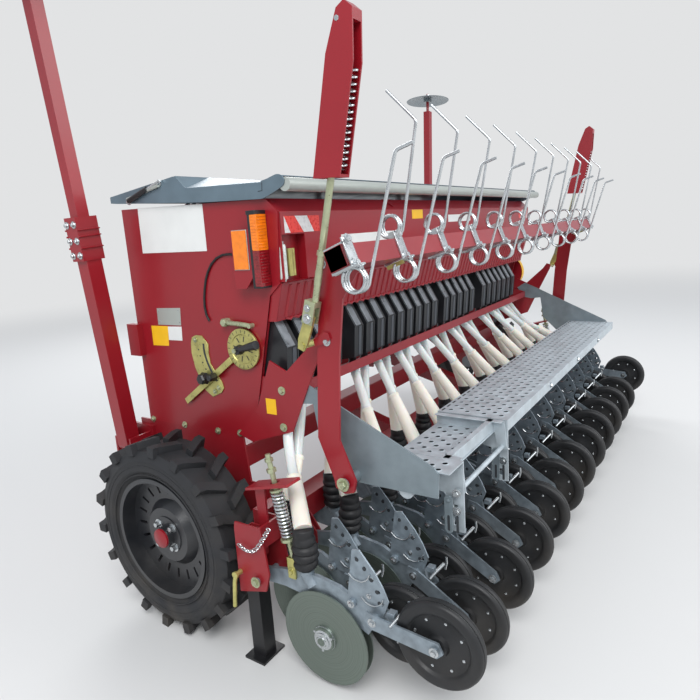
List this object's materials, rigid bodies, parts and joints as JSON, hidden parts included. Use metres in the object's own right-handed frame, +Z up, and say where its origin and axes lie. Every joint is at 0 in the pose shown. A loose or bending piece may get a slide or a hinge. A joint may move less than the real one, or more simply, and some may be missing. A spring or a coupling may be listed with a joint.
{
  "type": "seed drill",
  "caption": "Three-point mounted seed drill with disc coulters, press wheels, seed hopper, loading platform, folding tine harrow and row markers.",
  "frame": {"origin": "on the ground, in the middle of the machine's length and width", "axes": "+X to the machine's right, +Y forwards to the tractor, +Z up"},
  "size_m": [3.185, 1.6493, 2.2266],
  "materials": {
    "red_paint": "gloss",
    "zinc": "satin",
    "grey_paint": "satin",
    "black_plastic": "matte",
    "white_tube": "satin",
    "rubber": "matte",
    "tyre": "matte",
    "black_paint": "satin",
    "disc_steel": "satin",
    "yellow_zinc": "satin",
    "lamp_plastic": "gloss",
    "bright_steel": "satin"
  },
  "bodies": {
    "base": {"frame": "red_paint", "frame_sides": "red_paint", "headstock": "red_paint", "coulter_beam": "red_paint", "axles": "bright_steel", "hopper": "red_paint", "end_plates": "red_paint", "gussets": "red_paint", "metering_units": "black_plastic", "unit_slides": "bright_steel", "metering_shaft": "bright_steel", "outlet_rail": "red_paint", "seed_tubes": "white_tube", "bellows": "rubber", "coulters_rear": "zinc", "coulters_front": "zinc", "outer_springs": "bright_steel", "platform": "grey_paint", "platform_sides": "grey_paint", "lamps": "lamp_plastic", "lamp_cable": "rubber", "setting_dial": "yellow_zinc", "drive_cover": "red_paint"},
    "lid": {"lid": "grey_paint", "lid_edge": "bright_steel"},
    "wheel_left": {"tyre_left": "tyre", "rim_left": "black_paint"},
    "wheel_right": {"tyre_right": "tyre", "rim_right": "black_paint"},
    "discs_rear": {"discs_rear": "disc_steel"},
    "discs_front": {"discs_front": "disc_steel"},
    "press_wheels_outer": {"press_wheels_outer": "rubber"},
    "press_wheels_rear": {"press_wheels_rear": "rubber"},
    "press_wheels_front": {"press_wheels_front": "rubber"},
    "harrow": {"harrow_bar": "red_paint", "harrow_tines": "bright_steel"},
    "strut_left": {"strut_left": "red_paint"},
    "strut_right": {"strut_right": "red_paint"},
    "ladder": {"ladder": "grey_paint"},
    "stand_left": {"stand_left": "black_paint"},
    "stand_right": {"stand_right": "black_paint"},
    "marker_left": {"marker_arm_left": "red_paint"},
    "marker_right": {"marker_arm_right": "red_paint"},
    "marker_disc_left": {"marker_disc_left": "disc_steel"},
    "marker_disc_right": {"marker_disc_right": "disc_steel"}
  },
  "joints": [
    {"name": "wheel_left_turn", "type": "hinge", "parent": "base", "child": "wheel_left", "pos_m": [-1.428, 0.293, 0.335], "axis": [1, 0, 0], "continuous": true},
    {"name": "wheel_right_turn", "type": "hinge", "parent": "base", "child": "wheel_right", "pos_m": [1.428, 0.293, 0.335], "axis": [1, 0, 0], "continuous": true},
    {"name": "discs_rear_turn", "type": "hinge", "parent": "base", "child": "discs_rear", "pos_m": [0, -0.342, 0.16], "axis": [1, 0, 0], "continuous": true},
    {"name": "discs_front_turn", "type": "hinge", "parent": "base", "child": "discs_front", "pos_m": [0, -0.192, 0.16], "axis": [1, 0, 0], "continuous": true},
    {"name": "press_wheels_outer_turn", "type": "hinge", "parent": "base", "child": "press_wheels_outer", "pos_m": [0, -0.702, 0.269], "axis": [1, 0, 0], "continuous": true},
    {"name": "press_wheels_rear_turn", "type": "hinge", "parent": "base", "child": "press_wheels_rear", "pos_m": [0, -0.68, 0.187], "axis": [1, 0, 0], "continuous": true},
    {"name": "press_wheels_front_turn", "type": "hinge", "parent": "base", "child": "press_wheels_front", "pos_m": [0, -0.53, 0.187], "axis": [1, 0, 0], "continuous": true},
    {"name": "lid_hinge", "type": "hinge", "parent": "base", "child": "lid", "pos_m": [0, 0.62, 1.453], "axis": [-1, 0, 0], "range_deg": [0, 75]},
    {"name": "harrow_fold", "type": "hinge", "parent": "base", "child": "harrow", "pos_m": [0, -0.356, 0.588], "axis": [1, 0, 0], "range_deg": [0, 105]},
    {"name": "strut_left_swing", "type": "hinge", "parent": "base", "child": "strut_left", "pos_m": [-1.345, -0.297, 1.081], "axis": [1, 0, 0], "range_deg": [0, 121]},
    {"name": "strut_right_swing", "type": "hinge", "parent": "base", "child": "strut_right", "pos_m": [1.345, -0.297, 1.081], "axis": [1, 0, 0], "range_deg": [0, 121]},
    {"name": "ladder_fold", "type": "hinge", "parent": "base", "child": "ladder", "pos_m": [-0.9625, -0.64, 0.55], "axis": [1, 0, 0], "range_deg": [0, 200]},
    {"name": "stand_left_slide", "type": "slide", "parent": "base", "child": "stand_left", "axis": [0, 0, 1], "range_m": [0, 0.18]},
    {"name": "stand_right_slide", "type": "slide", "parent": "base", "child": "stand_right", "axis": [0, 0, 1], "range_m": [0, 0.18]},
    {"name": "marker_left_fold", "type": "hinge", "parent": "base", "child": "marker_left", "pos_m": [-1.33, 0.642, 0.565], "axis": [0, -1, 0], "range_deg": [0, 96]},
    {"name": "marker_right_fold", "type": "hinge", "parent": "base", "child": "marker_right", "pos_m": [1.33, 0.642, 0.565], "axis": [0, 1, 0], "range_deg": [0, 96]},
    {"name": "marker_disc_left_turn", "type": "hinge", "parent": "marker_left", "child": "marker_disc_left", "pos_m": [-1.4444, 0.642, 2.201], "axis": [-0.0698, 0, 0.9976], "continuous": true},
    {"name": "marker_disc_right_turn", "type": "hinge", "parent": "marker_right", "child": "marker_disc_right", "pos_m": [1.4444, 0.642, 2.201], "axis": [0.0698, 0, 0.9976], "continuous": true}
  ],
  "couplings": [
    {"joint": "strut_left_swing", "follows": "harrow_fold", "ratio": 1.15},
    {"joint": "strut_right_swing", "follows": "harrow_fold", "ratio": 1.15}
  ]
}
